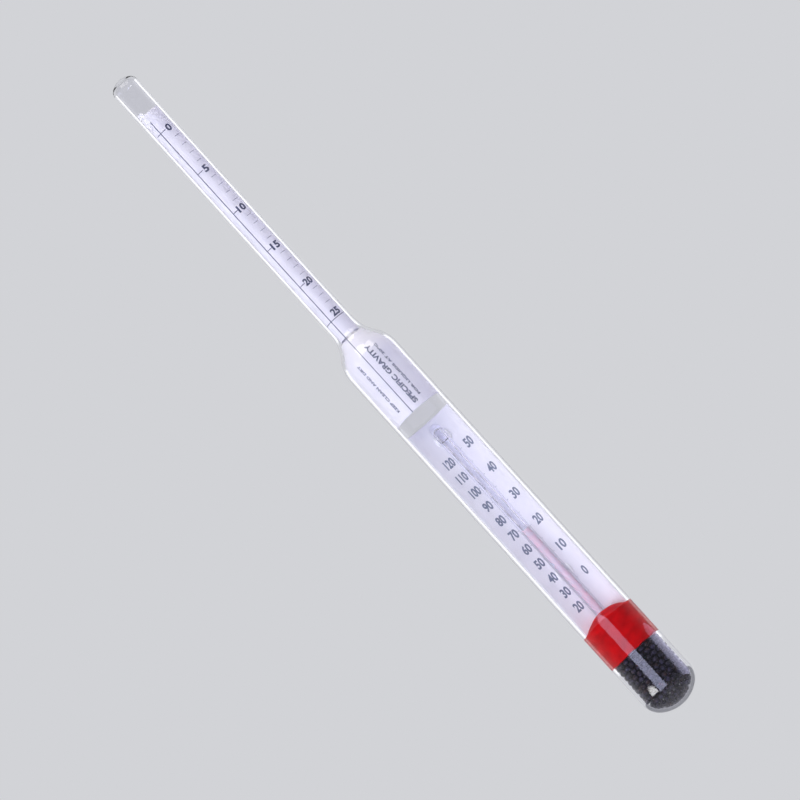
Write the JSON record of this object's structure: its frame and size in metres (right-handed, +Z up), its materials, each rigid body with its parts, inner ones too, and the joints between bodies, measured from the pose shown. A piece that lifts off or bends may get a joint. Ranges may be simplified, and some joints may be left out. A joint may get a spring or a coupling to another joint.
{
  "type": "hydrometer with thermometer",
  "caption": "Sealed glass float with a slim graduated stem, a round-bottomed body weighted with shot under red wax, and a spirit thermometer on a printed card inside the body.",
  "frame": {"origin": "lowest point of the round bottom, on the float's axis", "axes": "+Z up the stem as the float stands in liquid, -Y towards the reader of the scales"},
  "size_m": [0.022, 0.022, 0.3],
  "materials": {
    "float_glass": "gloss",
    "thermometer_glass": "gloss",
    "scale_paper": "matte",
    "card": "satin",
    "dyed_spirit": "gloss",
    "red_wax": "satin",
    "shot": "satin",
    "cement": "matte"
  },
  "bodies": {
    "float": {"glass_envelope": "float_glass", "stem_scale": "scale_paper", "body_slip": "scale_paper", "temperature_card": "card", "thermometer_tube": "thermometer_glass", "spirit_reservoir": "dyed_spirit", "wax_plug": "red_wax", "ballast_shot": "shot", "stem_cement": "cement", "card_cement": "cement"},
    "spirit_column": {"spirit_thread": "dyed_spirit"}
  },
  "joints": [
    {"name": "spirit_rise", "type": "slide", "parent": "float", "child": "spirit_column", "axis": [0, 0, 1], "range_m": [-0.0326, 0.0367], "deforming": ["spirit_thread"]}
  ]
}
